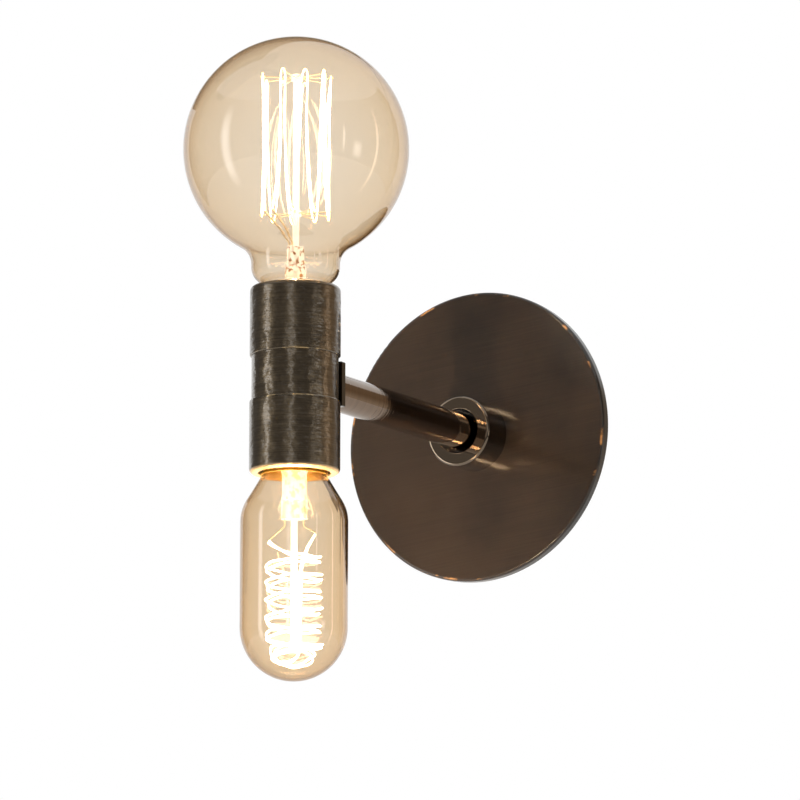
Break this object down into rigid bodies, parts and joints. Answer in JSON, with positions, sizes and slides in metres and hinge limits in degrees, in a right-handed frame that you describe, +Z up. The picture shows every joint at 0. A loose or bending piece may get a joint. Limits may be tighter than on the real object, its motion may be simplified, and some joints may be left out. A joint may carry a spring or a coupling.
{
  "type": "wall sconce",
  "caption": "Wall sconce with a round plate, screw collar and straight arm that holds a double-ended lampholder, with a globe lamp above and a tubular lamp below.",
  "frame": {"origin": "centre of the plate's wall face, on the wall's surface", "axes": "+Z up along the wall, +Y into the wall, +X to the right as seen from the room"},
  "size_m": [0.127, 0.2168, 0.2732],
  "materials": {
    "bronze_plate": "dark bronze lacquer over brushed steel",
    "bronze_body": "satin dark bronze with turned marks",
    "bronze_arm": "gloss dark bronze",
    "zinc_steel": "zinc plated",
    "brass": "bright brass",
    "cap_brass": "lamp cap brass",
    "porcelain": "white glaze",
    "black_glass": "black glass",
    "solder": "dull solder",
    "amber_glass": "pale amber glass",
    "clear_glass": "clear glass",
    "lit_tungsten": "lit tungsten",
    "support_wire": "fine drawn wire",
    "green_screw": "green dyed zinc",
    "black_insulation": "matt",
    "white_insulation": "matt"
  },
  "bodies": {
    "fixture": {"crossbar": "zinc_steel", "ground_screw": "green_screw", "hub": "brass", "rear_nipple": "zinc_steel", "rear_lock_washer": "zinc_steel", "rear_hex_nut": "zinc_steel", "arm_tube": "bronze_arm", "arm_plug": "brass", "front_nipple": "zinc_steel", "front_lock_washer": "zinc_steel", "front_hex_nut": "zinc_steel", "saddle_plate": "bronze_body", "center_band": "bronze_body", "socket_frame": "zinc_steel", "frame_screws": "zinc_steel", "upper_cup": "bronze_body", "upper_insulator": "porcelain", "upper_screw_shell": "brass", "upper_center_contact": "brass", "upper_hot_lead": "black_insulation", "upper_neutral_lead": "white_insulation", "lower_cup": "bronze_body", "lower_insulator": "porcelain", "lower_screw_shell": "brass", "lower_center_contact": "brass", "lower_hot_lead": "black_insulation", "lower_neutral_lead": "white_insulation"},
    "wall_plate_body": {"wall_plate": "bronze_plate"},
    "collar_body": {"collar": "bronze_arm"},
    "globe_lamp": {"globe_envelope": "amber_glass", "globe_cap": "cap_brass", "globe_cap_insulator": "black_glass", "globe_cap_tip": "solder", "globe_stem": "clear_glass", "globe_lead_wires": "support_wire", "globe_supports": "support_wire", "globe_filament": "lit_tungsten"},
    "tube_lamp": {"tube_envelope": "amber_glass", "tube_cap": "cap_brass", "tube_cap_insulator": "black_glass", "tube_cap_tip": "solder", "tube_stem": "clear_glass", "tube_lead_wires": "support_wire", "tube_supports": "support_wire", "tube_filament": "lit_tungsten"}
  },
  "joints": [
    {"name": "plate_slide", "type": "slide", "parent": "fixture", "child": "wall_plate_body", "axis": [0, -1, 0], "range_m": [0, 0.11]},
    {"name": "collar_turn", "type": "hinge", "parent": "wall_plate_body", "child": "collar_body", "pos_m": [0, -0.0117, 0], "axis": [0, -1, 0], "continuous": true},
    {"name": "globe_lamp_unscrew", "type": "slide", "parent": "fixture", "child": "globe_lamp", "axis": [0, 0, 1], "range_m": [0, 0.04]},
    {"name": "tube_lamp_unscrew", "type": "slide", "parent": "fixture", "child": "tube_lamp", "axis": [0, 0, -1], "range_m": [0, 0.04]}
  ]
}
